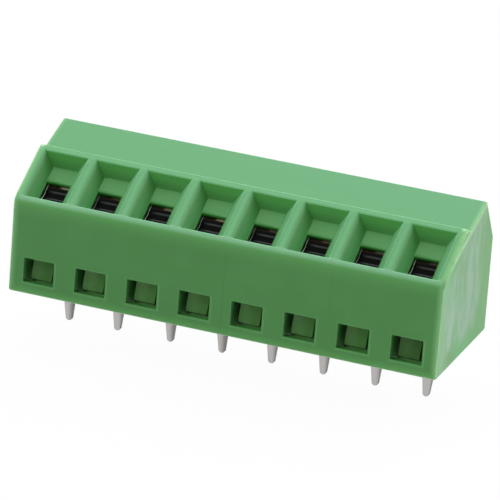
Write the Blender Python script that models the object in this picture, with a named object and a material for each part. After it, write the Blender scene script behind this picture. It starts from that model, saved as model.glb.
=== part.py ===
"""Spring-clamp terminal block for circuit boards, eight ways in one row.

One green moulding holds a stamped contact and a folded clamp spring in each way.
The frame's origin is on the board's surface, at the middle of the pin row: X runs
along the row, Y away from the side that the wires enter, Z up from the board.
Side-view sizes are measured from the front bottom edge of the moulding.
"""

import math

import bmesh
import bpy
from mathutils import Vector

MM = 0.001

# Row
WAYS = 8
PITCH = 3.5 * MM
END_EXTRA = 0.24 * MM  # what each end wall has beyond its way

# Side profile of the moulding
PIN_SETBACK = 5.25 * MM  # from the front bottom edge back to the pin row
FRONT_HEIGHT = 6.22 * MM
FRONT_LEAN = 0.18 * MM
FACE_RUN = 3.81 * MM  # the inclined face, seen from above
FACE_RISE = 2.37 * MM
GROOVE_RUN = 0.74 * MM  # the shallow groove behind the inclined face's upper rim
GROOVE_DROP = 0.38 * MM
TOP_RUN = 2.88 * MM
TOP_RISE = 1.02 * MM
CHAMFER_RUN = 1.87 * MM  # the steep chamfer at the back
CHAMFER_DROP = 2.92 * MM
LIP_RADIUS = 0.9 * MM
FOOT_RADIUS = 0.26 * MM
EDGE_RADIUS = 0.16 * MM
END_ROUNDING = 0.12 * MM  # round both end faces

# Driver recess in the inclined face
RIB = 0.51 * MM  # left standing between two recesses
LIP = 0.36 * MM  # from the lower edge of the face to the mouth
UPPER_RIM = 0.38 * MM
FUNNEL_DEPTH = 0.83 * MM
FUNNEL_SIDE = 0.65 * MM  # how far each side wall leans in over that depth
FUNNEL_TOP = 0.59 * MM
FUNNEL_FRONT = 0.25 * MM
MOUTH_RADIUS = 0.2 * MM  # on the ribs and rims around the mouth
FLOOR_LENGTH = 1.21 * MM  # from the top wall's foot to the window
WINDOW_RADIUS = 0.16 * MM
FLOOR_SKIN = 0.25 * MM  # plastic between the recess floor and the cavity

# Wire entry in the front face
ENTRY_WIDTH = 2.06 * MM
ENTRY_HEIGHT = 1.6 * MM
ENTRY_SILL = 0.83 * MM

# Cavity of one way, open at the bottom
WAY_WALL = 1.2 * MM
FRONT_WALL = 0.42 * MM
TOE_RUN = 0.8 * MM  # how much further back the front wall reaches at its foot
TOE_DROP = 0.07 * MM  # from the wire entry's sill down to the top of that toe
BACK_WALL = 1.4 * MM
CHAMFER_WALL = 1.0 * MM
NOSE_DROP = 1.52 * MM  # below the front's upper edge, where the front wall turns back
WINDOW_LEAD = 0.36 * MM  # how far the cavity starts in front of the window
CEILING_GAP = 0.3 * MM  # above the spring's flat top

# Contact, stamped from one sheet
SHEET = 0.4 * MM
PIN_WIDTH = 0.65 * MM
PIN_LENGTH = 3.4 * MM
PIN_TAPER = 1.35 * MM
PIN_TIP = 0.6  # share of the pin's width and thickness left at its tip
PIN_ROUND = 0.19 * MM
FOOT_LIFT = 0.15 * MM  # from the board up to the foot that closes the way from below
TAB_SWING = 1.35 * MM  # from the front wall back to the foot, for the spring's tab
FOOT_SPLIT = 0.12 * MM  # between the pin and the foot on each side of it
FOOT_RELIEF = 0.3 * MM  # how far that split runs on in front of the pin
SLOT_DEPTH = 0.25 * MM  # the side slots that the shoulders are pressed into
POST_WIDTH = 0.33 * MM
TONGUE_GAP = 0.3 * MM  # between the tongue's end and the front wall
BEND_RADIUS = 0.2 * MM

# Clamp spring, folded from one strip
STRIP = 0.2 * MM
TAB_INSET = 0.25 * MM  # each side of the tab that closes the wire entry
RAIL = 0.3 * MM  # each side of the spring's window
LEG_BAR = 0.86 * MM  # left between the spring's window and the knee
LEG_LEAN = 19.0  # degrees that the tab leans back
KNEE_GAP = 0.83 * MM  # from the front wall to the knee
KNEE_RADIUS = 0.45 * MM
TAB_RADIUS = 0.3 * MM
SEAT_GAP = 0.44 * MM  # from the window's upper edge down to the driver's seat in the arm
SEAT_LENGTH = 0.6 * MM
SEAT_SLOPE = 0.12 * MM
SEAT_DEPTH = 0.06 * MM
SEAT_RADIUS = 0.2 * MM
ARM_REACH = 3.63 * MM  # along the face to where the arm turns level
ARM_RADIUS = 2.5 * MM
LOOP_RADIUS = 0.85 * MM
LOOP_BEHIND_PIN = 0.65 * MM
HOOK_DROP = 0.6 * MM
HOOK_RADIUS = 0.25 * MM

# Clearances
FIT = 0.05 * MM
RUNNING = 0.08 * MM
SIDE_PLAY = 0.2 * MM
POST_GAP = 0.2 * MM  # under the spring's fixed end, for its small turn
HOOK_GAP = 0.3 * MM

# Worked out from the above
LENGTH = WAYS * PITCH + 2 * END_EXTRA
CAVITY_WIDTH = PITCH - WAY_WALL
SPRING_WIDTH = CAVITY_WIDTH - 2 * SIDE_PLAY
WINDOW_WIDTH = SPRING_WIDTH - 2 * RAIL
TONGUE_WIDTH = WINDOW_WIDTH - 2 * RUNNING
FACE_ANGLE = math.atan2(FACE_RISE, FACE_RUN)
FACE_LENGTH = math.hypot(FACE_RUN, FACE_RISE)
DEPTH = FRONT_LEAN + FACE_RUN + GROOVE_RUN + TOP_RUN + CHAMFER_RUN
FRONT_SLOPE = FRONT_LEAN / FRONT_HEIGHT
CEILING_DEPTH = FUNNEL_DEPTH + FLOOR_SKIN
WINDOW_START = LIP + FUNNEL_FRONT + FIT
WINDOW_END = FACE_LENGTH - UPPER_RIM - FUNNEL_TOP - FLOOR_LENGTH
ARM_DEPTH = CEILING_DEPTH + FIT + STRIP / 2
ARM_TOP = FRONT_HEIGHT + ARM_REACH * math.sin(FACE_ANGLE) - ARM_DEPTH * math.cos(FACE_ANGLE)
LOOP_HEIGHT = ARM_TOP - LOOP_RADIUS
LOOP_SETBACK = PIN_SETBACK + LOOP_BEHIND_PIN
TONGUE_BOTTOM = ENTRY_SILL + ENTRY_HEIGHT + FIT
TAB_TOP = TONGUE_BOTTOM - FIT
TAB_BOTTOM = ENTRY_SILL + RUNNING
SHOULDER_TOP = TONGUE_BOTTOM - BEND_RADIUS
SHOULDER_BOTTOM = FOOT_LIFT + SHEET + BEND_RADIUS
BOOLEAN_REACH = 1.0 * MM  # how far a cutter runs past the skin it opens
JOIN_SKIN = FIT / 4  # keeps the faces of two joined bodies out of one plane

PLASTIC = ("green_moulding", (0.055, 0.265, 0.045), 0.42, 0.0)
TINNED = ("tinned_copper_alloy", (0.62, 0.61, 0.58), 0.34, 1.0)
STEEL = ("spring_steel", (0.07, 0.07, 0.065), 0.3, 1.0)


def clear_scene():
    for old in list(bpy.data.objects):
        bpy.data.objects.remove(old, do_unlink=True)


def material(finish):
    name, colour, roughness, metallic = finish
    found = bpy.data.materials.get(name)
    if found:
        return found
    made = bpy.data.materials.new(name)
    made.use_nodes = True
    shader = made.node_tree.nodes["Principled BSDF"]
    shader.inputs["Base Color"].default_value = (*colour, 1.0)
    shader.inputs["Roughness"].default_value = roughness
    shader.inputs["Metallic"].default_value = metallic
    return made


def add_object(name, bm, finish=None):
    """Makes an object of the bmesh; one without a finish is a hidden cutter."""
    bmesh.ops.recalc_face_normals(bm, faces=bm.faces)
    mesh = bpy.data.meshes.new(name)
    bm.to_mesh(mesh)
    bm.free()
    made = bpy.data.objects.new(name, mesh)
    bpy.context.scene.collection.objects.link(made)
    if finish:
        mesh.materials.append(material(finish))
    else:
        made.hide_render = True
        made.display_type = "WIRE"
    return made


def rounded(corners, closed):
    """Points of a side-view line whose corners (y, z, radius, steps) are rounded."""
    points = []
    count = len(corners)
    for i, (y, z, radius, steps) in enumerate(corners):
        here = Vector((y, z))
        if radius == 0 or (not closed and i in (0, count - 1)):
            points.append(here)
            continue
        before = (Vector(corners[i - 1][:2]) - here).normalized()
        after = (Vector(corners[(i + 1) % count][:2]) - here).normalized()
        opening = before.angle(after)
        tangent = radius / math.tan(opening / 2)
        centre = here + (before + after).normalized() * (radius / math.sin(opening / 2))
        first, last = here + before * tangent - centre, here + after * tangent - centre
        sweep = math.pi - opening
        if first.x * last.y - first.y * last.x < 0:
            sweep = -sweep
        for step in range(steps + 1):
            angle = sweep * step / steps
            turned = Vector((
                first.x * math.cos(angle) - first.y * math.sin(angle),
                first.x * math.sin(angle) + first.y * math.cos(angle),
            ))
            points.append(centre + turned)
    return points


def prism(bm, outline, low, high):
    """Adds the side-view outline to the bmesh, extruded along X from low to high."""
    face = bm.faces.new([bm.verts.new((low, y - PIN_SETBACK, z)) for y, z in outline])
    grown = bmesh.ops.extrude_face_region(bm, geom=[face])["geom"]
    moved = [item for item in grown if isinstance(item, bmesh.types.BMVert)]
    bmesh.ops.translate(bm, verts=moved, vec=(high - low, 0, 0))


def way_centre(way):
    return (way - (WAYS - 1) / 2) * PITCH


def repeat_for_ways(bm):
    """Turns the bmesh of a way that is centred on X = 0 into one for every way."""
    first = list(bm.verts) + list(bm.edges) + list(bm.faces)
    for way in range(1, WAYS):
        copied = bmesh.ops.duplicate(bm, geom=first)["geom"]
        moved = [item for item in copied if isinstance(item, bmesh.types.BMVert)]
        bmesh.ops.translate(bm, verts=moved, vec=(way_centre(way), 0, 0))
    first_verts = [item for item in first if isinstance(item, bmesh.types.BMVert)]
    bmesh.ops.translate(bm, verts=first_verts, vec=(way_centre(0), 0, 0))


def on_face(along, depth):
    """Side-view point at a distance up the inclined face and a depth below it."""
    up, back = math.sin(FACE_ANGLE), math.cos(FACE_ANGLE)
    return (FRONT_LEAN + along * back + depth * up, FRONT_HEIGHT + along * up - depth * back)


def housing_profile():
    rim_y, rim_z = FRONT_LEAN + FACE_RUN, FRONT_HEIGHT + FACE_RISE
    groove_y, groove_z = rim_y + GROOVE_RUN, rim_z - GROOVE_DROP
    ridge_y, ridge_z = groove_y + TOP_RUN, groove_z + TOP_RISE
    return [
        (0, 0, FOOT_RADIUS, 4),
        (FRONT_LEAN, FRONT_HEIGHT, LIP_RADIUS, 7),
        (rim_y, rim_z, EDGE_RADIUS, 3),
        (groove_y, groove_z, EDGE_RADIUS, 3),
        (ridge_y, ridge_z, EDGE_RADIUS, 3),
        (DEPTH, ridge_z - CHAMFER_DROP, EDGE_RADIUS, 3),
        (DEPTH, 0, EDGE_RADIUS, 3),
    ]


def chamfer_line():
    """The back chamfer's inner side: a point on it and how far z falls for each y."""
    corners = housing_profile()
    top, bottom = Vector(corners[4][:2]), Vector(corners[5][:2])
    along = (bottom - top).normalized()
    inner = top + Vector((along.y, -along.x)) * CHAMFER_WALL
    return inner, along.y / along.x


def cavity_outline():
    """Side view of a way's hollow, which follows the moulding's skin at wall thickness."""
    ceiling = ARM_TOP + STRIP / 2 + CEILING_GAP
    nose = FRONT_HEIGHT - NOSE_DROP
    along = (ceiling - on_face(0, CEILING_DEPTH)[1]) / math.sin(FACE_ANGLE)
    inner, fall = chamfer_line()
    back = DEPTH - BACK_WALL
    toe = ENTRY_SILL - TOE_DROP
    toe_front = FRONT_WALL + FRONT_SLOPE * toe
    return [
        (toe_front + TOE_RUN * (toe + BOOLEAN_REACH) / toe, -BOOLEAN_REACH),
        (toe_front, toe),
        (FRONT_WALL + FRONT_SLOPE * nose, nose),
        on_face(WINDOW_START - WINDOW_LEAD, CEILING_DEPTH),
        on_face(along, CEILING_DEPTH),
        (inner.x + (ceiling - inner.y) / fall, ceiling),
        (back, inner.y + (back - inner.x) * fall),
        (back, -BOOLEAN_REACH),
    ]


def cavity_cutter():
    bm = bmesh.new()
    prism(bm, cavity_outline(), -CAVITY_WIDTH / 2, CAVITY_WIDTH / 2)
    repeat_for_ways(bm)
    return add_object("cavity_cutter", bm)


def slot_cutter():
    """The pair of side slots that hold a contact's shoulders, as one block across the way."""
    front, back = PIN_SETBACK - SHEET / 2 - FIT, PIN_SETBACK + SHEET / 2 + FIT
    top = SHOULDER_TOP + FIT
    outline = [(front, -BOOLEAN_REACH), (front, top), (back, top), (back, -BOOLEAN_REACH)]
    half = CAVITY_WIDTH / 2 + SLOT_DEPTH
    bm = bmesh.new()
    prism(bm, outline, -half, half)
    repeat_for_ways(bm)
    return add_object("slot_cutter", bm)


def mouth_reach(depth, lean):
    """How far a rounded mouth's wall stands outside its sharp edge, at a depth below the face."""
    turn = math.pi / 2 - math.atan2(lean, FUNNEL_DEPTH)
    if depth < MOUTH_RADIUS * (1 - math.cos(turn)):
        turned = math.acos(1 - depth / MOUTH_RADIUS)
        return MOUTH_RADIUS * (math.tan(turn / 2) - math.sin(turned))
    return -depth * lean / FUNNEL_DEPTH


def funnel_cutter():
    """The tapered recess: a rectangle that shrinks from its rounded mouth to the recess floor."""
    half = (PITCH - RIB) / 2
    low, high = LIP, FACE_LENGTH - UPPER_RIM
    steepest = math.pi / 2 - math.atan2(FUNNEL_FRONT, FUNNEL_DEPTH)
    steps = 4
    levels = [(-BOOLEAN_REACH, 0.0)]
    for step in range(steps + 1):
        depth = MOUTH_RADIUS * (1 - math.cos(steepest * step / steps))
        levels.append((depth, depth))
    levels.append((FUNNEL_DEPTH, FUNNEL_DEPTH))
    bm = bmesh.new()
    rings = []
    for depth, wall_depth in levels:
        side = half + mouth_reach(wall_depth, FUNNEL_SIDE)
        start = low - mouth_reach(wall_depth, FUNNEL_FRONT)
        end = high + mouth_reach(wall_depth, FUNNEL_TOP)
        ring = []
        for x, along in ((-side, start), (side, start), (side, end), (-side, end)):
            y, z = on_face(along, depth)
            ring.append(bm.verts.new((x, y - PIN_SETBACK, z)))
        rings.append(ring)
    bm.faces.new(rings[0])
    bm.faces.new(rings[-1])
    for upper, lower in zip(rings, rings[1:]):
        for i in range(4):
            bm.faces.new((upper[i], upper[i - 1], lower[i - 1], lower[i]))
    repeat_for_ways(bm)
    return add_object("funnel_cutter", bm)


def window_cutter():
    """The driver's way from the recess floor into the cavity, with a rounded upper edge."""
    above, below = FUNNEL_DEPTH / 2, CEILING_DEPTH + WINDOW_RADIUS
    section = [
        on_face(WINDOW_START, above),
        on_face(WINDOW_START, below),
        on_face(WINDOW_END, below),
    ]
    steps, past_level = 4, math.radians(100)
    for step in range(steps + 1):
        angle = past_level * step / steps
        along = WINDOW_END + WINDOW_RADIUS * (1 - math.cos(angle))
        section.append(on_face(along, FUNNEL_DEPTH + WINDOW_RADIUS * (1 - math.sin(angle))))
    section.append(on_face(WINDOW_END + WINDOW_RADIUS * (1 - math.cos(past_level)), above))
    half = (PITCH - RIB) / 2 - FUNNEL_SIDE - FIT / 2
    bm = bmesh.new()
    prism(bm, section, -half, half)
    repeat_for_ways(bm)
    return add_object("window_cutter", bm)


def entry_cutter():
    low, high = ENTRY_SILL, ENTRY_SILL + ENTRY_HEIGHT
    outline = [(-BOOLEAN_REACH, low), (-BOOLEAN_REACH, high), (BOOLEAN_REACH, high), (BOOLEAN_REACH, low)]
    bm = bmesh.new()
    prism(bm, outline, -ENTRY_WIDTH / 2, ENTRY_WIDTH / 2)
    repeat_for_ways(bm)
    return add_object("entry_cutter", bm)


def housing():
    """The moulding: a rounded profile drawn along the row, opened for each way."""
    bm = bmesh.new()
    prism(bm, rounded(housing_profile(), closed=True), -LENGTH / 2, LENGTH / 2)
    ends = [edge for edge in bm.edges if edge.verts[0].co.x == edge.verts[1].co.x]
    bmesh.ops.bevel(
        bm, geom=ends, offset=END_ROUNDING, offset_type="OFFSET", segments=2, profile=0.5, affect="EDGES", material=-1
    )
    made = add_object("housing", bm, PLASTIC)
    for cutter in (cavity_cutter(), slot_cutter(), funnel_cutter(), window_cutter(), entry_cutter()):
        cut = made.modifiers.new(cutter.name, "BOOLEAN")
        cut.operation = "DIFFERENCE"
        cut.solver = "EXACT"
        cut.object = cutter
    return made


def contact_plate(bm):
    """Pin, shoulders and posts in one outline, drawn in the X-Z plane of the sheet."""
    pin, shoulder = PIN_WIDTH / 2, CAVITY_WIDTH / 2 + SLOT_DEPTH - FIT
    inner = TONGUE_WIDTH / 2 + FIT
    outer = inner + POST_WIDTH
    post_top = LOOP_HEIGHT - LOOP_RADIUS - STRIP / 2 - POST_GAP
    root = SHOULDER_TOP - SHEET / 2
    taper = PIN_TAPER - PIN_LENGTH
    right = [
        (pin * PIN_TIP, -PIN_LENGTH, PIN_ROUND, 5),
        (pin, taper, 0, 0),
        (pin, SHOULDER_BOTTOM, 0, 0),
        (shoulder, SHOULDER_BOTTOM, 0, 0),
        (shoulder, SHOULDER_TOP, 0, 0),
        (outer, SHOULDER_TOP, 0, 0),
        (outer, post_top, 0, 0),
        (inner, post_top, 0, 0),
        (inner, root, 0, 0),
    ]
    left = [(-x, z, radius, steps) for x, z, radius, steps in reversed(right)]
    outline = rounded(right + left, closed=True)
    face = bm.faces.new([bm.verts.new((x, -SHEET / 2, z)) for x, z in outline])
    grown = bmesh.ops.extrude_face_region(bm, geom=[face])["geom"]
    moved = [item for item in grown if isinstance(item, bmesh.types.BMVert)]
    bmesh.ops.translate(bm, verts=moved, vec=(0, SHEET, 0))
    whole = list(bm.verts) + list(bm.edges) + list(bm.faces)
    bmesh.ops.bisect_plane(bm, geom=whole, dist=FIT / 10, plane_co=(0, 0, taper), plane_no=(0, 0, 1))
    for vert in bm.verts:
        share = max(0.0, taper - vert.co.z) / PIN_TAPER
        vert.co.y *= 1 - share * (1 - PIN_TIP)


def tongue():
    """The strip that bends forward over the wires' way, as a body of its own to be joined."""
    front, back = PIN_SETBACK - SHEET / 2 + JOIN_SKIN, PIN_SETBACK + SHEET / 2 - JOIN_SKIN
    tip = FRONT_WALL + FRONT_SLOPE * TONGUE_BOTTOM + TONGUE_GAP
    top = TONGUE_BOTTOM + SHEET
    root = SHOULDER_BOTTOM + SHEET
    corners = [
        (front, root, 0, 0),
        (front, TONGUE_BOTTOM, BEND_RADIUS, 4),
        (tip, TONGUE_BOTTOM, 0, 0),
        (tip, top, 0, 0),
        (back, top, BEND_RADIUS + SHEET, 4),
        (back, root, 0, 0),
    ]
    bm = bmesh.new()
    prism(bm, rounded(corners, closed=True), -TONGUE_WIDTH / 2, TONGUE_WIDTH / 2)
    return add_object("tongue_joiner", bm)


def foot():
    """The sheet beside the pin, bent forward under the wires' way; a body to be joined."""
    level = FOOT_LIFT + SHEET / 2
    tip = FRONT_WALL + FRONT_SLOPE * level + TAB_SWING
    path = rounded([
        (PIN_SETBACK, SHOULDER_BOTTOM + SHEET / 2, 0, 0),
        (PIN_SETBACK, level, BEND_RADIUS + SHEET / 2, 4),
        (tip, level, 0, 0),
    ], closed=False)
    length = stations(path, [])[-1][0]
    split = length - (PIN_SETBACK - SHEET / 2 - FOOT_RELIEF - tip)
    inner, outer = PIN_WIDTH / 2 + FOOT_SPLIT, CAVITY_WIDTH / 2 - FIT
    bm = bmesh.new()
    rows = []
    for distance, point in stations(path, [split]):
        y, z = point.x - PIN_SETBACK, point.y
        rows.append((distance, [bm.verts.new((x, y, z)) for x in (-outer, -inner, inner, outer)]))
    for (start, above), (end, below) in zip(rows, rows[1:]):
        for column in range(3):
            if column == 1 and (start + end) / 2 < split:
                continue
            bm.faces.new((above[column], above[column + 1], below[column + 1], below[column]))
    bmesh.ops.delete(bm, geom=[vert for vert in bm.verts if not vert.link_faces], context="VERTS")
    made = add_object("foot_joiner", bm)
    thick = made.modifiers.new("sheet", "SOLIDIFY")
    thick.thickness = SHEET - 2 * JOIN_SKIN
    thick.offset = 0.0
    thick.use_even_offset = True
    return made


def contact(way):
    """One stamped contact: solder pin, pressed-in shoulders, spring posts, tongue and foot."""
    bm = bmesh.new()
    contact_plate(bm)
    made = add_object(f"contact_{way + 1}", bm, TINNED)
    made.location.x = way_centre(way)
    for joiner in (tongue(), foot()):
        joiner.location.x = way_centre(way)
        joint = made.modifiers.new(joiner.name, "BOOLEAN")
        joint.operation = "UNION"
        joint.solver = "EXACT"
        joint.object = joiner
    return made


def spring_path():
    """Side-view middle line of the strip, from the tab's lower end to the hook."""
    lean = math.radians(LEG_LEAN)
    foot = FRONT_WALL + FRONT_SLOPE * TAB_BOTTOM + RUNNING + STRIP / 2 / math.cos(lean)
    arm_foot = on_face(0, ARM_DEPTH)
    knee = FRONT_WALL + KNEE_GAP
    seat_end = WINDOW_END - SEAT_GAP
    seat_start = seat_end - SEAT_LENGTH
    seat_depth = ARM_DEPTH + SEAT_DEPTH
    bottom, far = LOOP_HEIGHT - LOOP_RADIUS, LOOP_SETBACK + LOOP_RADIUS
    hook = PIN_SETBACK - SHEET / 2 - HOOK_GAP - STRIP / 2
    loop = LOOP_RADIUS * 0.999
    return rounded([
        (foot, TAB_BOTTOM, 0, 0),
        (foot + (TAB_TOP - TAB_BOTTOM) * math.tan(lean), TAB_TOP, TAB_RADIUS, 3),
        (knee, arm_foot[1] + (knee - arm_foot[0]) * math.tan(FACE_ANGLE), KNEE_RADIUS, 6),
        (*on_face(seat_start, ARM_DEPTH), SEAT_RADIUS, 2),
        (*on_face(seat_start + SEAT_SLOPE, seat_depth), SEAT_RADIUS, 2),
        (*on_face(seat_end - SEAT_SLOPE, seat_depth), SEAT_RADIUS, 2),
        (*on_face(seat_end, ARM_DEPTH), SEAT_RADIUS, 2),
        (*on_face(ARM_REACH, ARM_DEPTH), ARM_RADIUS, 4),
        (far, ARM_TOP, loop, 6),
        (far, bottom, loop, 6),
        (hook, bottom, HOOK_RADIUS, 3),
        (hook, bottom - HOOK_DROP, 0, 0),
    ], closed=False)


def stations(path, wanted):
    """The path's points with more put in at the wanted distances: (distance, point)."""
    found = [(0.0, path[0])]
    for before, after in zip(path, path[1:]):
        start = found[-1][0]
        span = (after - before).length
        for distance in sorted(wanted):
            if start + FIT / 10 < distance < start + span - FIT / 10:
                found.append((distance, before.lerp(after, (distance - start) / span)))
        found.append((start + span, after))
    return found


def height_distance(path, height):
    """How far along the rising path its height is first reached."""
    gone = 0.0
    for before, after in zip(path, path[1:]):
        span = (after - before).length
        if before.y <= height <= after.y:
            return gone + span * (height - before.y) / (after.y - before.y)
        gone += span
    return gone


def half_width(distance, marks):
    """Half the strip's width at a distance, between the marks (distance, half width)."""
    for (start, first), (end, last) in zip(marks, marks[1:]):
        if distance <= end:
            share = max(0.0, (distance - start) / (end - start))
            return first + (last - first) * share
    return marks[-1][1]


def spring_mesh():
    """The strip's middle surface with its window left out; Solidify gives it its thickness."""
    path = spring_path()
    wide = SPRING_WIDTH / 2
    tab = wide - TAB_INSET
    sill = height_distance(path, TAB_TOP)
    knee = height_distance(path, on_face(0, ARM_DEPTH)[1])
    window = (sill, knee - LEG_BAR)
    marks = [
        (0.0, tab - FIT),
        (FIT * 3, tab),
        (sill - TAB_INSET - FIT, tab),
        (sill - FIT, wide),
    ]
    wanted = [mark for mark, _ in marks[1:]] + list(window)
    bm = bmesh.new()
    rows = []
    for distance, point in stations(path, wanted):
        side, gap = half_width(distance, marks), WINDOW_WIDTH / 2
        columns = (-side, -min(gap, side * 0.7), min(gap, side * 0.7), side)
        y, z = point.x - LOOP_SETBACK, point.y - LOOP_HEIGHT
        rows.append((distance, [bm.verts.new((x, y, z)) for x in columns]))
    for (start, lower), (end, upper) in zip(rows, rows[1:]):
        middle = (start + end) / 2
        for column in range(3):
            if column == 1 and window[0] < middle < window[1]:
                continue
            bm.faces.new((lower[column], lower[column + 1], upper[column + 1], upper[column]))
    return bm


def spring(way):
    """One clamp spring, with its origin on the axis that its loop turns about."""
    made = add_object(f"clamp_spring_{way + 1}", spring_mesh(), STEEL)
    made.location = (way_centre(way), LOOP_SETBACK - PIN_SETBACK, LOOP_HEIGHT)
    thick = made.modifiers.new("strip", "SOLIDIFY")
    thick.thickness = STRIP
    thick.offset = 0.0
    thick.use_even_offset = True
    return made


def main():
    clear_scene()
    housing()
    for way in range(WAYS):
        contact(way)
        spring(way)
    for made in bpy.data.objects:
        made.data.set_sharp_from_angle(angle=math.radians(30))


main()
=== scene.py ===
"""The looks of the eight-way terminal block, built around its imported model."""

import math

import bmesh
import bpy
from mathutils import Matrix, Vector


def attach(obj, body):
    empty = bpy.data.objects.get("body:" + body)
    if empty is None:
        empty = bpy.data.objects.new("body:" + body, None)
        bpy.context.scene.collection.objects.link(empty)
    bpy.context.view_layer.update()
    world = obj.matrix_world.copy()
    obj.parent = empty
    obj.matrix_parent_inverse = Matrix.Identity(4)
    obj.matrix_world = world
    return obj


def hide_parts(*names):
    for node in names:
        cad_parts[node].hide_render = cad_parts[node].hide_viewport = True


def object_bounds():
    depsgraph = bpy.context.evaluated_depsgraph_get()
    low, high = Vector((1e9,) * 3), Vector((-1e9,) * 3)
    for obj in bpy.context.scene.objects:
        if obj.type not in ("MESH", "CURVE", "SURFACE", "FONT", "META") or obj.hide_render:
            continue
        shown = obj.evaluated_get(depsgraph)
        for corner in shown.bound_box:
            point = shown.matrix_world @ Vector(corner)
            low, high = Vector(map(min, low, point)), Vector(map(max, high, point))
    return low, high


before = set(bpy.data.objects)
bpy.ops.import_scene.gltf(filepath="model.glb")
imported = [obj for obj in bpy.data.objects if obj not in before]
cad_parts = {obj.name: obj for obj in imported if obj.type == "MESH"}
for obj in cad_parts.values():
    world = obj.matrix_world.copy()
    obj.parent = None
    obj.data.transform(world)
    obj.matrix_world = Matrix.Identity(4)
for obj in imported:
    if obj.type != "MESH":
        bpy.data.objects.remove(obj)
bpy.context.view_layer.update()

# Moulding
# One injection-moulded piece of mid-green polyamide with a soft sheen. Its edges are
# slightly eased by the tool, and its end walls have sunk a little over the last ways.

MM = 0.001
WALL_EASE = 0.055 * MM
MERGE_DISTANCE = 0.001 * MM
SAME_PLANE = math.radians(0.4)
SHARP_ANGLE = math.radians(30)
SHADING_BREAK = math.radians(40)

# The coats of colour follow the block's form: its length, with a skin that counts as the
# end face, and its side view. There the front leans back a little from its foot, the
# recesses' inclined face starts at the front's top, and the sloping top starts behind it.
PITCH = 3.5 * MM
HALF_LENGTH = 14.24 * MM
END_SKIN = 0.1 * MM
FRONT_FOOT = 5.242 * MM
FRONT_LEAN = 0.0277
FRONT_DEPTH = -4.9 * MM
FACE_FOOT = (-5.07 * MM, 6.22 * MM)
FACE_ANGLE = math.radians(31.884)
TOP_FOOT = (-0.52 * MM, 8.08 * MM)
TOP_SLOPE = 0.354
ENTRY_WIDTH = 2.06 * MM
ENTRY_HEIGHT = 1.6 * MM
ENTRY_LEVEL = 1.58 * MM
ENTRY_CENTRE = 0.517

BODY_GREENS = ((0.053, 0.226, 0.041), (0.059, 0.244, 0.047))
PARTITION_HIGHLIGHT_GREEN = (0.100, 0.355, 0.112)
RIM_HIGHLIGHT_GREEN = (0.125, 0.405, 0.140)
RIM_EDGE_SHADE_GREEN = (0.080, 0.295, 0.090)
SHOULDER_SHADE_GREEN = (0.074, 0.295, 0.086)
RECESS_SHADE_GREEN = (0.036, 0.226, 0.030)
RIGHT_WALL_LIGHT_GREEN = (0.094, 0.275, 0.105)
TOP_WALL_SHADE_GREEN = (0.046, 0.290, 0.034)
LEFT_WALL_SHADE_GREEN = (0.040, 0.270, 0.046)
TOP_LIGHT_GREEN = (0.063, 0.275, 0.074)
WITNESS_GREEN = (0.049, 0.213, 0.040)
BROW_HIGHLIGHT_GREEN = (0.080, 0.300, 0.062)
LIP_HIGHLIGHT_GREEN = (0.225, 0.52, 0.24)
CORNER_HIGHLIGHT_GREEN = (0.18, 0.46, 0.15)
CORNER_HIGHLIGHT_LINE_GREEN = (0.26, 0.58, 0.20)
SPECK_HIGHLIGHT_GREEN = (0.45, 0.72, 0.38)
FOOT_HIGHLIGHT_GREEN = (0.10, 0.36, 0.075)
ENTRY_HIGHLIGHT_GREEN = (0.10, 0.335, 0.085)
END_FRONT_SHEEN_GREEN = (0.14, 0.36, 0.14)
END_SHEEN_GREEN = (0.190, 0.340, 0.196)
END_SHEEN_PATCH_GREEN = (0.27, 0.43, 0.28)
EDGE_HIGHLIGHT_GREEN = (0.16, 0.42, 0.14)


def eased_copy(node, name, width):
    """A copy of a CAD node, with its triangles merged and its sharp edges rounded.

    The rounded faces of outward edges are marked with 1 in the attribute outer_edge.
    """
    bm = bmesh.new()
    bm.from_mesh(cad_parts[node].data)
    outer = bm.faces.layers.float.new("outer_edge")
    bmesh.ops.remove_doubles(bm, verts=bm.verts, dist=MERGE_DISTANCE)
    bmesh.ops.dissolve_limit(bm, angle_limit=SAME_PLANE, verts=bm.verts, edges=bm.edges)
    sharp = [edge for edge in bm.edges if edge.is_manifold and edge.calc_face_angle() > SHARP_ANGLE]
    eased = bmesh.ops.bevel(
        bm, geom=sharp, offset=width, offset_type="OFFSET", segments=2, profile=0.5,
        affect="EDGES", clamp_overlap=True, material=-1,
    )["faces"]
    for face in eased:
        middle = face.calc_center_median()
        near = [other.calc_center_median() - middle for edge in face.edges for other in edge.link_faces]
        face[outer] = float(sum(face.normal.dot(way) for way in near) < 0)
    mesh = bpy.data.meshes.new(name)
    bm.to_mesh(mesh)
    bm.free()
    mesh.shade_smooth()
    mesh.set_sharp_from_angle(angle=SHADING_BREAK)
    piece = bpy.data.objects.new(name, mesh)
    bpy.context.scene.collection.objects.link(piece)
    weighted = piece.modifiers.new("even_shading", "WEIGHTED_NORMAL")
    weighted.keep_sharp = True
    return piece


def node_of(tree, kind, **settings):
    """A new node, with each setting given to its input of that name or to itself."""
    made = tree.nodes.new(kind)
    for key, value in settings.items():
        if key in made.inputs:
            made.inputs[key].default_value = value
        else:
            setattr(made, key, value)
    return made


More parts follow.
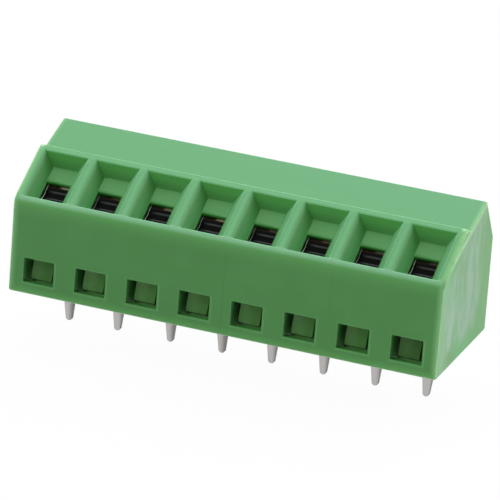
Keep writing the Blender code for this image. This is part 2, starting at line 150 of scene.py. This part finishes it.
class Amount:
    """A number that varies over a surface. Arithmetic on it adds Math nodes to its tree."""

    def __init__(self, socket):
        self.socket = socket
        self.tree = socket.id_data

    def calculate(self, operation, second=0.0, first=None):
        made = node_of(self.tree, "ShaderNodeMath", operation=operation)
        for socket, value in zip(made.inputs, (self if first is None else first, second)):
            if isinstance(value, Amount):
                self.tree.links.new(value.socket, socket)
            else:
                socket.default_value = value
        return Amount(made.outputs[0])

    def __add__(self, other):
        return self.calculate("ADD", other)

    def __sub__(self, other):
        return self.calculate("SUBTRACT", other)

    def __rsub__(self, number):
        return self.calculate("SUBTRACT", self, first=number)

    def __mul__(self, other):
        return self.calculate("MULTIPLY", other)

    def __truediv__(self, other):
        return self.calculate("DIVIDE", other)

    def __abs__(self):
        return self.calculate("ABSOLUTE")

    def __gt__(self, other):
        return self.calculate("GREATER_THAN", other)

    def __lt__(self, other):
        return self.calculate("LESS_THAN", other)

    def least(self, other):
        return self.calculate("MINIMUM", other)

    def most(self, other):
        return self.calculate("MAXIMUM", other)

    def rise(self, low, high):
        """Zero at low, one at high, and a smooth step between them; high may be the smaller."""
        made = node_of(self.tree, "ShaderNodeMapRange", interpolation_type="SMOOTHSTEP")
        self.tree.links.new(self.socket, made.inputs["Value"])
        made.inputs["From Min"].default_value = low
        made.inputs["From Max"].default_value = high
        return Amount(made.outputs["Result"])

    def band(self, middle, half_width, fade):
        """One inside a band round the middle, falling to zero over the fade on both sides."""
        fall = ((half_width + fade) - abs(self - middle)) / fade
        return fall.most(0.0).least(1.0)


def coat(under, share, over):
    """The share of one colour laid over another; each is a socket or a plain colour."""
    mixed = node_of(share.tree, "ShaderNodeMix", data_type="RGBA")
    share.tree.links.new(share.socket, mixed.inputs["Factor"])
    for socket, colour in ((mixed.inputs[6], under), (mixed.inputs[7], over)):
        if isinstance(colour, bpy.types.NodeSocket):
            share.tree.links.new(colour, socket)
        else:
            socket.default_value = (*colour, 1)
    return mixed.outputs[2]


def new_finish(name, **sockets):
    """A material and its main shader, whose sockets get values that are the same all over."""
    finish = bpy.data.materials.new(name)
    finish.use_nodes = True
    shader = finish.node_tree.nodes["Principled BSDF"]
    for socket, value in sockets.items():
        shader.inputs[socket.replace("_", " ")].default_value = value
    return finish, finish.node_tree, shader


def place_of(tree):
    """The place on the piece, as a vector socket and as three amounts."""
    place = node_of(tree, "ShaderNodeTexCoord").outputs["Object"]
    axes = node_of(tree, "ShaderNodeSeparateXYZ")
    tree.links.new(place, axes.inputs[0])
    return place, *(Amount(axes.outputs[axis]) for axis in "XYZ")


def noise(place, scale, detail, roughness=0.5):
    """Soft blotches, from 0 to 1, with about this many to the metre."""
    tree = place.id_data
    made = node_of(tree, "ShaderNodeTexNoise", Scale=scale, Detail=detail, Roughness=roughness)
    tree.links.new(place, made.inputs["Vector"])
    return Amount(made.outputs["Fac"])


def attribute(tree, name):
    return Amount(node_of(tree, "ShaderNodeAttribute", attribute_name=name).outputs["Fac"])


def across_way(x):
    """The share of a pitch from the partition on a way's left, from 0 to 1."""
    return (x / PITCH).calculate("FRACT")


def along_face(y, z):
    """How far a side-view point lies up the inclined face from its lower edge."""
    return (y - FACE_FOOT[0]) * math.cos(FACE_ANGLE) + (z - FACE_FOOT[1]) * math.sin(FACE_ANGLE)


def green_polyamide():
    """Mid-green moulding plastic, with painted highlights, shade and sheen laid into its colour."""
    finish, tree, shader = new_finish(
        "green_polyamide", Roughness=0.5, IOR=1.42,
        Subsurface_Weight=0.1, Subsurface_Radius=(0.4, 1.0, 0.4), Subsurface_Scale=0.3 * MM,
    )
    place, x, y, z = place_of(tree)
    shade = coat(BODY_GREENS[0], noise(place, 450.0, 3.0).rise(0.3, 0.7), BODY_GREENS[1])

    # Distances on the block: into the inclined face and up it, from the nearer end face,
    # from the front, and above the sloping top.
    depth = (y - FACE_FOOT[0]) * math.sin(FACE_ANGLE) + (z - FACE_FOOT[1]) * -math.cos(FACE_ANGLE)
    along = along_face(y, z)
    across = across_way(x)
    to_end = HALF_LENGTH - abs(x)
    to_front = (y + FRONT_FOOT) - z * FRONT_LEAN
    above_top = (z - TOP_FOOT[1]) - (y - TOP_FOOT[0]) * TOP_SLOPE
    on_slope = along.rise(-0.35 * MM, 0.1 * MM) * along.rise(4.75 * MM, 4.5 * MM)
    on_front = y < FRONT_DEPTH

    # Painted highlight: the slope's rim and partitions are painted paler near the face, the rim paler
    # still.
    near_face = depth.rise(0.30 * MM, 0.05 * MM) * on_slope
    shade = coat(shade, near_face, PARTITION_HIGHLIGHT_GREEN)
    rim_highlight = along.rise(4.0 * MM, 4.15 * MM) * along.rise(4.42 * MM, 4.34 * MM)
    shade = coat(shade, rim_highlight * near_face, RIM_HIGHLIGHT_GREEN)
    # Painted shade: a darker line along the rim's upper edge tones down its highlight.
    shade = coat(shade, along.rise(4.36 * MM, 4.44 * MM) * near_face, RIM_EDGE_SHADE_GREEN)
    # Painted shade on the left half of each partition's crest.
    shoulder_shade = across.rise(0.86, 0.90) * across.rise(0.995, 0.94) * near_face
    shade = coat(shade, shoulder_shade * along.rise(4.1 * MM, 3.5 * MM), SHOULDER_SHADE_GREEN)

    # Painted shade and light: the recess walls are painted deeper or paler green, each by the light that
    # reaches it.
    surface = node_of(tree, "ShaderNodeNewGeometry")
    facing = node_of(tree, "ShaderNodeSeparateXYZ")
    tree.links.new(surface.outputs["True Normal"], facing.inputs[0])
    sideways, upwards = Amount(facing.outputs["X"]), Amount(facing.outputs["Z"])
    inside = depth.rise(0.2 * MM, 0.5 * MM) * on_slope
    shade = coat(shade, inside * 0.8, RECESS_SHADE_GREEN)
    # Painted light: the right walls, which face left, are painted paler.
    lit_right_wall = across.rise(0.75, 0.80) * depth.rise(0.05 * MM, 0.3 * MM) * on_slope
    lit_right_wall = lit_right_wall * (sideways < -0.3) * (x > END_SKIN - HALF_LENGTH)
    shade = coat(shade, lit_right_wall, RIGHT_WALL_LIGHT_GREEN)
    # Painted shade on the recesses' top walls, which face down.
    shaded_top_wall = (upwards < 0.3) * (abs(sideways) < 0.5) * on_slope
    shaded_top_wall = shaded_top_wall * along.rise(3.0 * MM, 3.3 * MM) * depth.rise(0.7 * MM, 0.3 * MM)
    shade = coat(shade, shaded_top_wall, TOP_WALL_SHADE_GREEN)
    # Painted shade: the left walls are painted deeper green, most towards the lip.
    shaded_left_wall = across.rise(0.30, 0.20) * inside * along.rise(3.6 * MM, 1.2 * MM)
    shade = coat(shade, shaded_left_wall, LEFT_WALL_SHADE_GREEN)
    # Painted light: the sloping top is painted paler and bluer, as lit from overhead.
    on_top = above_top.rise(-0.2 * MM, -0.08 * MM) * (y > TOP_FOOT[0])
    shade = coat(shade, on_top, TOP_LIGHT_GREEN)

    # Two faint witness lines stand on the front, which carries a painted highlight growing towards the
    # lip.
    witness = x.band(0.1 * MM, 0.03 * MM, 0.06 * MM) + x.band(7.07 * MM, 0.03 * MM, 0.06 * MM) * 0.6
    shade = coat(shade, witness * on_front, WITNESS_GREEN)
    shade = coat(shade, z.rise(5.0 * MM, 6.25 * MM) * on_front, BROW_HIGHLIGHT_GREEN)

    # Painted highlights: the lip is painted pale, and so are the corners of the ends.
    lip_highlight = along.rise(-0.12 * MM, 0.2 * MM) * along.rise(0.46 * MM, 0.34 * MM)
    shade = coat(shade, lip_highlight * depth.rise(0.25 * MM, 0.1 * MM), LIP_HIGHLIGHT_GREEN)
    to_side = to_front.least(abs(depth)).least(abs(above_top))
    to_corner = to_end.most(0.0) + to_side.most(0.0)
    shade = coat(shade, to_corner.rise(0.5 * MM, 0.02 * MM), CORNER_HIGHLIGHT_GREEN)
    # A painted glint where the rim meets the top, near each end.
    speck_highlight = along.band(4.42 * MM, 0.08 * MM, 0.12 * MM) * to_end.rise(0.45 * MM, 0.15 * MM)
    shade = coat(shade, speck_highlight * depth.rise(0.35 * MM, 0.2 * MM), SPECK_HIGHLIGHT_GREEN)
    # A painted highlight along the foot of the front.
    foot = to_front.most(0.0) + z
    shade = coat(shade, foot.rise(0.7 * MM, 0.1 * MM) * 0.9, FOOT_HIGHLIGHT_GREEN)

    # Each wire entry has a fine painted highlight round its rim.
    beside = abs((across - ENTRY_CENTRE) * PITCH) - ENTRY_WIDTH / 2
    beyond = beside.most(abs(z - ENTRY_LEVEL) - ENTRY_HEIGHT / 2)
    entry_highlight = beyond.band(0.03 * MM, 0.02 * MM, 0.06 * MM) * on_front
    shade = coat(shade, entry_highlight * 0.8, ENTRY_HIGHLIGHT_GREEN)

    # The end faces carry a painted sheen, paler at the front and streaky in a field inside a greener
    # margin.
    on_end = to_end.rise(END_SKIN, END_SKIN / 2)
    shade = coat(shade, on_end * y.rise(-2.6 * MM, -4.6 * MM) * 0.9, END_FRONT_SHEEN_GREEN)
    wander = (noise(place, 420.0, 2.0) - 0.5) * (2.2 * MM)
    sheen_field = (depth + wander).rise(0.65 * MM, 1.25 * MM) * (y + wander).rise(-4.6 * MM, -3.9 * MM)
    sheen_field = sheen_field * (y + wander).rise(2.9 * MM, 1.1 * MM) * (z + wander).rise(0.5 * MM, 1.7 * MM)
    stretch = node_of(tree, "ShaderNodeMapping", Scale=(600, 1250, 380), Rotation=(math.radians(18), 0, 0))
    tree.links.new(place, stretch.inputs["Vector"])
    streaks = noise(stretch.outputs["Vector"], 1.0, 4.0, 0.6).rise(0.33, 0.67)
    sheen_field = sheen_field * on_end * (streaks * 0.75 + 0.25)
    shade = coat(shade, sheen_field, END_SHEEN_GREEN)
    sheen_patch = sheen_field * y.rise(-1.5 * MM, -3.5 * MM) * z.rise(5.0 * MM, 3.0 * MM)
    shade = coat(shade, sheen_patch * 0.6, END_SHEEN_PATCH_GREEN)
    # A painted highlight line along the end edges, broken up by noise.
    highlight_breaks = noise(place, 1500.0, 2.0).rise(0.2, 0.5)
    shade = coat(shade, to_corner.rise(0.2 * MM, 0.06 * MM) * highlight_breaks, CORNER_HIGHLIGHT_LINE_GREEN)
    # Painted highlight on the rounded outward edges.
    shade = coat(shade, attribute(tree, "outer_edge") * 0.8, EDGE_HIGHLIGHT_GREEN)
    tree.links.new(shade, shader.inputs["Base Color"])

    bump = node_of(tree, "ShaderNodeBump", Strength=0.12, Distance=0.004 * MM)
    tree.links.new(noise(place, 16000.0, 2.0).socket, bump.inputs["Height"])
    tree.links.new(bump.outputs["Normal"], shader.inputs["Normal"])
    return finish


moulding = eased_copy("housing", "moulding", WALL_EASE)
moulding.data.materials.append(green_polyamide())
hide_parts("housing")
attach(moulding, "block")

# Clamp springs
# Each is one strip of blued spring steel, cut to width and then folded. Its faces keep the dark blued
# skin, which is painted near black also as shade, and its cut edges are bare metal with a painted
# highlight.

STRIP_EASE = 0.02 * MM
TAB_TOP = 2.43 * MM
CUT_EDGE = 0.5 - 0.745 * MM / PITCH
OXIDE_AND_SHADE = (0.0018, 0.0016, 0.0012)
HIGHLIGHT_LINE_GREY = (0.075, 0.08, 0.075)
REFLECTED_BROWN = (0.05, 0.035, 0.022)
GLINT_BEIGE = (0.60, 0.48, 0.30)
SHEARED_HIGHLIGHT = (0.85, 0.85, 0.80)
TAB_REFLECTION_GREENS = ((0.145, 0.335, 0.095), (0.210, 0.365, 0.145))
TAB_FOOT_LIGHT_GREEN = (0.180, 0.400, 0.125)
TAB_RIGHT_SHADE_GREEN = (0.105, 0.285, 0.065)

# How strong each painted highlight and shade is on a spring, for ways 1 to 8.
SPRING_LIGHT_AND_SHADE = {
    "edge_shine": (1.0, 0.5, 1.0, 0.6, 0.5, 0.9, 0.5, 1.0),
    "glint_strength": (1.0, 0.15, 0.7, 0.8, 0.2, 0.25, 0.3, 0.15),
    "tab_shade": (0.85, 1.0, 1.0, 1.0, 1.0, 1.0, 0.95, 0.7),
}


def blued_steel():
    """Black oxide, darkened as painted shade, with painted highlights on the arm and a painted green
    reflection on the tab.
    """
    finish, tree, shader = new_finish("blued_steel", Roughness=0.36, Specular_IOR_Level=0.012)
    place, x, y, z = place_of(tree)
    across, along = across_way(x), along_face(y, z)

    # The arm shows in the recess window, with two painted highlight lines, a painted brown reflection and
    # a painted glint.
    highlight_lines = along.band(1.82 * MM, 0.035 * MM, 0.05 * MM).most(along.band(1.27 * MM, 0.03 * MM, 0.05 * MM))
    shade = coat(OXIDE_AND_SHADE, highlight_lines * across.band(0.62, 0.16, 0.14), HIGHLIGHT_LINE_GREY)
    shade = coat(shade, along.band(2.2 * MM, 0.07 * MM, 0.08 * MM) * 0.5, REFLECTED_BROWN)
    glint = along.band(2.29 * MM, 0.08 * MM, 0.06 * MM) * across.rise(0.50, 0.60)
    shade = coat(shade, glint * attribute(tree, "glint_strength"), GLINT_BEIGE)
    # The cut edge is bare metal, with a painted highlight line along it.
    sheared_highlight = across.band(CUT_EDGE, 0.003, 0.007) * attribute(tree, "edge_shine")
    shade = coat(shade, sheared_highlight, SHEARED_HIGHLIGHT)

    # The tab shows in the wire entry; its colour is a painted reflection of the green moulding round it,
    # paler towards its foot, with painted shade to the right and on some ways.
    patches = noise(place, 1400.0, 2.0, 0.6).rise(0.35, 0.65)
    tab_reflection = coat(TAB_REFLECTION_GREENS[0], patches, TAB_REFLECTION_GREENS[1])
    tab_reflection = coat(tab_reflection, z.rise(2.0 * MM, 1.2 * MM), TAB_FOOT_LIGHT_GREEN)
    tab_reflection = coat(tab_reflection, across.rise(0.42, 0.62) * 0.75, TAB_RIGHT_SHADE_GREEN)
    tab_reflection = coat((0.0, 0.0, 0.0), attribute(tree, "tab_shade"), tab_reflection)
    shade = coat(shade, z.band(0.0, TAB_TOP, 0.1 * MM), tab_reflection)
    tree.links.new(shade, shader.inputs["Base Color"])
    return finish


blued = blued_steel()
for name in [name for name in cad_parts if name.startswith("clamp_spring")]:
    way = name.rsplit("_", 1)[1]
    strip = eased_copy(name, f"spring_strip_{way}", STRIP_EASE)
    strip.data.materials.append(blued)
    for label, values in SPRING_LIGHT_AND_SHADE.items():
        layer = strip.data.attributes.new(label, "FLOAT", "POINT")
        layer.data.foreach_set("value", [values[int(way) - 1]] * len(strip.data.vertices))
    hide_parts(name)
    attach(strip, f"spring_{way}")

# Contacts
# Each is stamped from copper-alloy sheet and dull tin plated, and its tongue is folded
# forward. The shoulders are pressed into slots in the side walls of the way.

BLADE_EASE = 0.03 * MM
TIN_LIT = (0.26, 0.252, 0.246)
TIN_SHADED = (0.11, 0.107, 0.102)
TIN_INSIDE_SHADE = (0.035, 0.09, 0.028)
SHEARED_METAL = (0.045, 0.044, 0.041, 1)
SIDE_FACING = 0.8

# How far each pin leans to the right, in mm, for ways 1 to 8. The lean starts at the
# board's surface and is whole at the lean's depth.
PIN_LEAN = (0.11, -0.03, 0.115, 0.15, 0.01, 0.0, -0.03, -0.15)
LEAN_DEPTH = 2.6 * MM


def dull_tin():
    """Tin plate, grey on the pins with painted shade on each pin's right side, and darker and greener
    inside the ways as painted shade.
    """
    finish, tree, shader = new_finish("dull_tin", Metallic=1.0, Roughness=0.4)
    _, x, _, z = place_of(tree)
    shade = coat(TIN_LIT, across_way(x).rise(0.5, 0.62), TIN_SHADED)
    shade = coat(shade, z > 0.0, TIN_INSIDE_SHADE)
    tree.links.new(shade, shader.inputs["Base Color"])
    return finish


def cut_metal():
    """The sheared sides of the sheet, duller and darker than its plated faces."""
    return new_finish("cut_edge", Metallic=1.0, Base_Color=SHEARED_METAL, Roughness=0.5)[0]


tin, sheared_side = dull_tin(), cut_metal()
for name in [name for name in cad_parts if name.startswith("contact")]:
    way = name.rsplit("_", 1)[1]
    blade = eased_copy(name, f"contact_blade_{way}", BLADE_EASE)
    lean = PIN_LEAN[int(way) - 1] * MM
    for point in blade.data.vertices:
        point.co.x += lean * min(max(-point.co.z / LEAN_DEPTH, 0.0), 1.0)
    blade.data.materials.append(tin)
    blade.data.materials.append(sheared_side)
    for face in blade.data.polygons:
        if abs(face.normal.x) > SIDE_FACING:
            face.material_index = 1
    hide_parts(name)
    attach(blade, "block")

# Floor
# A sheet of white paper just under the pins' tips. It keeps the block's shadow, and the
# camera and the plastic's sheen see it lit to white.

FLOOR_SIZE = 3.0
FLOOR_GAP = 0.02 * MM
FLOOR_WHITE = (0.8, 0.8, 0.8, 1)
FLOOR_GLOW = 0.97
FLOOR_GLEAM = 1.88

bm = bmesh.new()
bmesh.ops.create_grid(bm, x_segments=1, y_segments=1, size=FLOOR_SIZE / 2)
bmesh.ops.translate(bm, verts=bm.verts, vec=(0, 0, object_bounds()[0][2] - FLOOR_GAP))
floor_mesh = bpy.data.meshes.new("floor")
bm.to_mesh(floor_mesh)
bm.free()
floor = bpy.data.objects.new("floor", floor_mesh)
bpy.context.scene.collection.objects.link(floor)
paper, tree, shader = new_finish("white_paper", Base_Color=FLOOR_WHITE, Roughness=0.9)
path = node_of(tree, "ShaderNodeLightPath")
by_camera, by_sheen = Amount(path.outputs["Is Camera Ray"]), Amount(path.outputs["Is Glossy Ray"])
glow = node_of(tree, "ShaderNodeEmission", Color=(1, 1, 1, 1))
tree.links.new((by_sheen * (FLOOR_GLEAM - 1.0) + 1.0).socket, glow.inputs["Strength"])
mix = node_of(tree, "ShaderNodeMixShader")
tree.links.new((by_camera.most(by_sheen) * FLOOR_GLOW).socket, mix.inputs["Fac"])
tree.links.new(shader.outputs["BSDF"], mix.inputs[1])
tree.links.new(glow.outputs["Emission"], mix.inputs[2])
tree.links.new(mix.outputs["Shader"], tree.nodes["Material Output"].inputs["Surface"])
floor_mesh.materials.append(paper)

# Light
# Plain soft studio light: a dim even surround, which is white to the camera and brighter
# to the plastic's sheen, and soft boxes to the left, behind and overhead.

AMBIENT = 0.06
SKY_GLEAM = 2.5

world = bpy.data.worlds.new("studio")
bpy.context.scene.world = world
world.use_nodes = True
tree = world.node_tree
tree.nodes.clear()
path = node_of(tree, "ShaderNodeLightPath")
by_camera, by_sheen = Amount(path.outputs["Is Camera Ray"]), Amount(path.outputs["Is Glossy Ray"])
seen = by_camera.most(Amount(path.outputs["Is Transmission Ray"]))
even = node_of(tree, "ShaderNodeBackground", Color=(1, 1, 1, 1))
tree.links.new((by_sheen * SKY_GLEAM).most(seen).most(AMBIENT).socket, even.inputs["Strength"])
out = node_of(tree, "ShaderNodeOutputWorld")
tree.links.new(even.outputs["Background"], out.inputs["Surface"])

# Each soft box: the side of its square, its watts, its colour and where it hangs.
SOFT_BOXES = {
    "left": (0.5, 1.6, (0.95, 1.0, 1.25), (-0.382, 0.0, 0.238)),
    "back": (0.3, 1.1, (0.95, 1.0, 1.3), (0.0, 0.338, 0.297)),
    "right_back": (0.3, 1.1, (1.0, 1.0, 1.1), (0.27, 0.2475, 0.261)),
    "left_front": (0.3, 0.22, (1.0, 1.0, 1.0), (-0.27, -0.225, 0.28)),
    "over": (0.3, 0.5, (1.0, 1.0, 1.1), (-0.05, 0.0, 0.45)),
}
for name, (side, watts, colour, at) in SOFT_BOXES.items():
    lamp = bpy.data.lights.new(name, "AREA")
    lamp.shape = "RECTANGLE"
    lamp.size = lamp.size_y = side
    lamp.energy = watts
    lamp.color = colour
    holder = bpy.data.objects.new(name, lamp)
    bpy.context.scene.collection.objects.link(holder)
    holder.location = at
    holder.rotation_euler = (-Vector(at)).to_track_quat("-Z", "Y").to_euler()

# Camera
# A long lens, in front of the block and a little to its right, looking down on it.

AZIMUTH = math.radians(20.1)
ELEVATION = math.radians(21.52)
ROLL = math.radians(3.99)
DISTANCE = 0.28166
TARGET = Vector((-0.634, 1.172, 3.344)) * MM
FOCAL_LENGTH = 323.0

aim = Matrix.Rotation(AZIMUTH, 4, "Z") @ Matrix.Rotation(math.pi / 2 - ELEVATION, 4, "X")
aim = aim @ Matrix.Rotation(ROLL, 4, "Z")
lens = bpy.data.cameras.new("camera")
lens.sensor_fit = "HORIZONTAL"
lens.sensor_width = 36.0
lens.lens = FOCAL_LENGTH
lens.clip_start = 0.01
lens.clip_end = 10.0
camera = bpy.data.objects.new("camera", lens)
bpy.context.scene.collection.objects.link(camera)
camera.matrix_world = Matrix.Translation(TARGET) @ aim @ Matrix.Translation((0, 0, DISTANCE))
bpy.context.scene.camera = camera
bpy.context.scene.view_settings.view_transform = "Standard"
